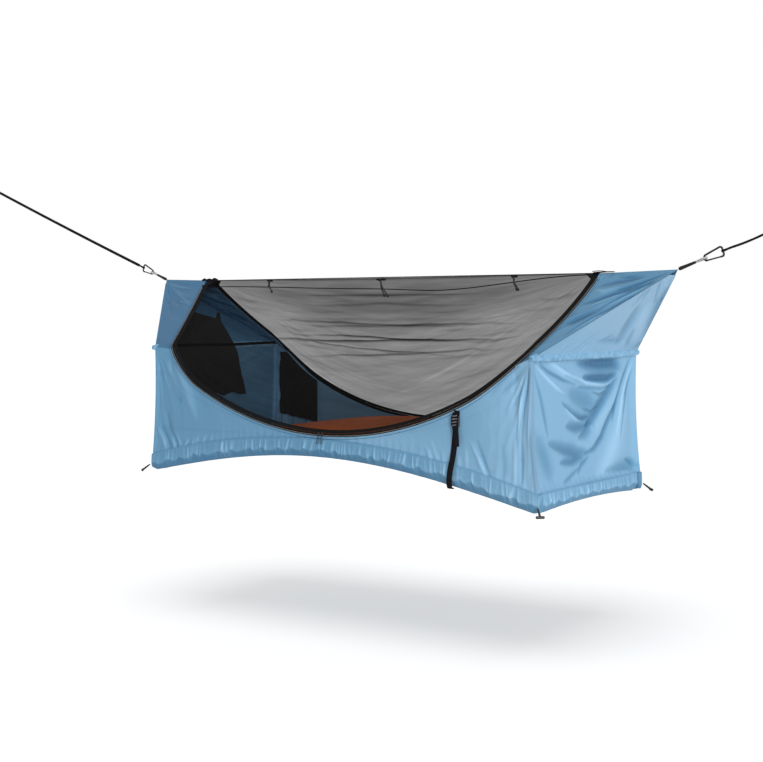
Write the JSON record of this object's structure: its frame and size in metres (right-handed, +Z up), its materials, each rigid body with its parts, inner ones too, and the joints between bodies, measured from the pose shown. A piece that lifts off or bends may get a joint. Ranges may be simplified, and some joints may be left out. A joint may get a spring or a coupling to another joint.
{
  "type": "hammock tent",
  "caption": "Enclosed camping hammock with net doors, hooded gathered ends, spreader poles, a pad and hanging straps with carabiners.",
  "frame": {"origin": "the inner face of the sewn eye of the left hanging strap, where the part is held up", "axes": "+X runs along the ridge towards the right end, +Y from the front door to the back door, +Z up"},
  "size_m": [4.5303, 0.893, 1.4147],
  "materials": {
    "wall_cloth": "thin coated ripstop cloth with a satin sheen",
    "floor_cloth": "heavier coated cloth, darker blue, satin",
    "insect_net": "fine dark see-through mesh",
    "dark_cloth": "matt dark cloth",
    "orange_cloth": "coated orange cloth of an air pad",
    "black_webbing": "woven black tape and webbing",
    "zip_tape": "woven tape with a grey coil",
    "black_cord": "braided black cord",
    "grey_cord": "smooth pale grey cord",
    "dark_metal": "dark anodised metal",
    "bright_metal": "bare bright metal",
    "pole_metal": "thin anodised tube",
    "moulded_plastic": "moulded black plastic"
  },
  "bodies": {
    "tent": {"back_hem": "floor_cloth", "back_pocket": "dark_cloth", "back_wall": "wall_cloth", "back_zip_tape": "zip_tape", "end_pocket": "dark_cloth", "floor_panel": "floor_cloth", "front_hem": "floor_cloth", "front_wall": "wall_cloth", "front_zip_tape": "zip_tape", "gear_line": "black_cord", "ladder_lock": "moulded_plastic", "left_anchor_eye": "black_webbing", "left_carabiner": "dark_metal", "left_cord_loop": "grey_cord", "left_cord_sleeve": "black_webbing", "left_end_wall": "wall_cloth", "left_hem": "floor_cloth", "left_hood": "wall_cloth", "left_pole_sleeve": "wall_cloth", "left_ridge_anchor": "black_webbing", "left_strap": "black_webbing", "left_strap_loop": "black_webbing", "ridge_cord": "black_cord", "right_carabiner": "dark_metal", "right_cord_loop": "grey_cord", "right_cord_sleeve": "black_webbing", "right_end_wall": "wall_cloth", "right_hem": "floor_cloth", "right_hood": "wall_cloth", "right_pole_sleeve": "wall_cloth", "right_ridge_anchor": "black_webbing", "sleeping_pad": "orange_cloth", "strap_tab": "black_webbing", "wall_strap": "black_webbing"},
    "front_door": {"front_net": "insect_net", "front_binding": "black_webbing"},
    "back_door": {"back_net": "insect_net", "back_binding": "black_webbing"},
    "front_left_zip_slider": {"front_left_slider": "dark_metal", "left_pull_cord": "black_cord"},
    "front_right_zip_slider": {"front_right_slider": "dark_metal", "right_pull_cord": "black_cord"},
    "back_left_zip_slider": {"back_left_slider": "dark_metal"},
    "back_right_zip_slider": {"back_right_slider": "dark_metal"},
    "left_tie": {"left_net_tie": "black_cord"},
    "middle_tie": {"middle_net_tie": "black_cord"},
    "right_tie": {"right_net_tie": "black_cord"},
    "front_left_corner_toggle": {"front_left_toggle": "moulded_plastic"},
    "front_right_corner_toggle": {"front_right_toggle": "moulded_plastic"},
    "back_left_corner_toggle": {"back_left_toggle": "moulded_plastic"},
    "back_right_corner_toggle": {"back_right_toggle": "moulded_plastic"},
    "left_carabiner_gate": {"left_gate": "bright_metal"},
    "right_carabiner_gate": {"right_gate": "bright_metal"},
    "left_pole": {"left_spreader_pole": "pole_metal"},
    "right_pole": {"right_spreader_pole": "pole_metal"},
    "right_hang_strap": {"right_strap_loop": "black_webbing", "right_strap": "black_webbing", "right_anchor_eye": "black_webbing"}
  },
  "joints": [
    {"name": "front_door_lift", "type": "hinge", "parent": "tent", "child": "front_door", "pos_m": [2.78836, 0, -0.53737], "axis": [-1, 0, 0], "range_deg": [0, 95]},
    {"name": "back_door_lift", "type": "hinge", "parent": "tent", "child": "back_door", "pos_m": [2.78836, 0, -0.53737], "axis": [1, 0, 0], "range_deg": [0, 95]},
    {"name": "front_left_zip_travel", "type": "hinge", "parent": "tent", "child": "front_left_zip_slider", "pos_m": [2.78836, -0.4, 0.42963], "axis": [0, 1, 0], "range_deg": [0, 24]},
    {"name": "front_right_zip_travel", "type": "hinge", "parent": "tent", "child": "front_right_zip_slider", "pos_m": [2.78836, -0.4, 0.42963], "axis": [0, -1, 0], "range_deg": [0, 20]},
    {"name": "back_left_zip_travel", "type": "hinge", "parent": "tent", "child": "back_left_zip_slider", "pos_m": [2.78836, 0.4, 0.42963], "axis": [0, 1, 0], "range_deg": [0, 24]},
    {"name": "back_right_zip_travel", "type": "hinge", "parent": "tent", "child": "back_right_zip_slider", "pos_m": [2.78836, 0.4, 0.42963], "axis": [0, -1, 0], "range_deg": [0, 24]},
    {"name": "left_tie_swing", "type": "hinge", "parent": "front_door", "child": "left_tie", "pos_m": [2.14536, -0.01032, -0.53986], "axis": [-1, 0, 0], "range_deg": [0, 60]},
    {"name": "middle_tie_swing", "type": "hinge", "parent": "front_door", "child": "middle_tie", "pos_m": [2.79136, -0.00943, -0.5434], "axis": [-1, 0, 0], "range_deg": [0, 60]},
    {"name": "right_tie_swing", "type": "hinge", "parent": "front_door", "child": "right_tie", "pos_m": [3.45636, -0.00999, -0.53987], "axis": [-1, 0, 0], "range_deg": [0, 60]},
    {"name": "front_left_toggle_swing", "type": "hinge", "parent": "tent", "child": "front_left_corner_toggle", "pos_m": [1.76741, -0.40795, -1.37537], "axis": [0.7071, -0.7071, 0], "range_deg": [-35, 35]},
    {"name": "front_right_toggle_swing", "type": "hinge", "parent": "tent", "child": "front_right_corner_toggle", "pos_m": [3.80931, -0.40795, -1.37537], "axis": [0.7071, 0.7071, 0], "range_deg": [-35, 35]},
    {"name": "back_left_toggle_swing", "type": "hinge", "parent": "tent", "child": "back_left_corner_toggle", "pos_m": [1.76741, 0.40795, -1.37537], "axis": [-0.7071, -0.7071, 0], "range_deg": [-35, 35]},
    {"name": "back_right_toggle_swing", "type": "hinge", "parent": "tent", "child": "back_right_corner_toggle", "pos_m": [3.80931, 0.40795, -1.37537], "axis": [-0.7071, 0.7071, 0], "range_deg": [-35, 35]},
    {"name": "left_gate_spring", "type": "hinge", "parent": "tent", "child": "left_carabiner_gate", "pos_m": [1.32252, 0, -0.49816], "axis": [0, 1, 0], "range_deg": [0, 22], "stiffness_Nm_per_rad": 0.05},
    {"name": "right_gate_spring", "type": "hinge", "parent": "tent", "child": "right_carabiner_gate", "pos_m": [4.2542, 0, -0.49816], "axis": [0, -1, 0], "range_deg": [0, 22], "stiffness_Nm_per_rad": 0.05},
    {"name": "left_pole_draw", "type": "slide", "parent": "tent", "child": "left_pole", "axis": [0, 1, 0], "range_m": [0, 0.45]},
    {"name": "right_pole_draw", "type": "slide", "parent": "tent", "child": "right_pole", "axis": [0, -1, 0], "range_m": [0, 0.45]},
    {"name": "right_strap_swing", "type": "hinge", "parent": "tent", "child": "right_hang_strap", "pos_m": [4.30769, 0, -0.46691], "axis": [-0.3453, 0, 0.9385], "range_deg": [-60, 60]}
  ]
}
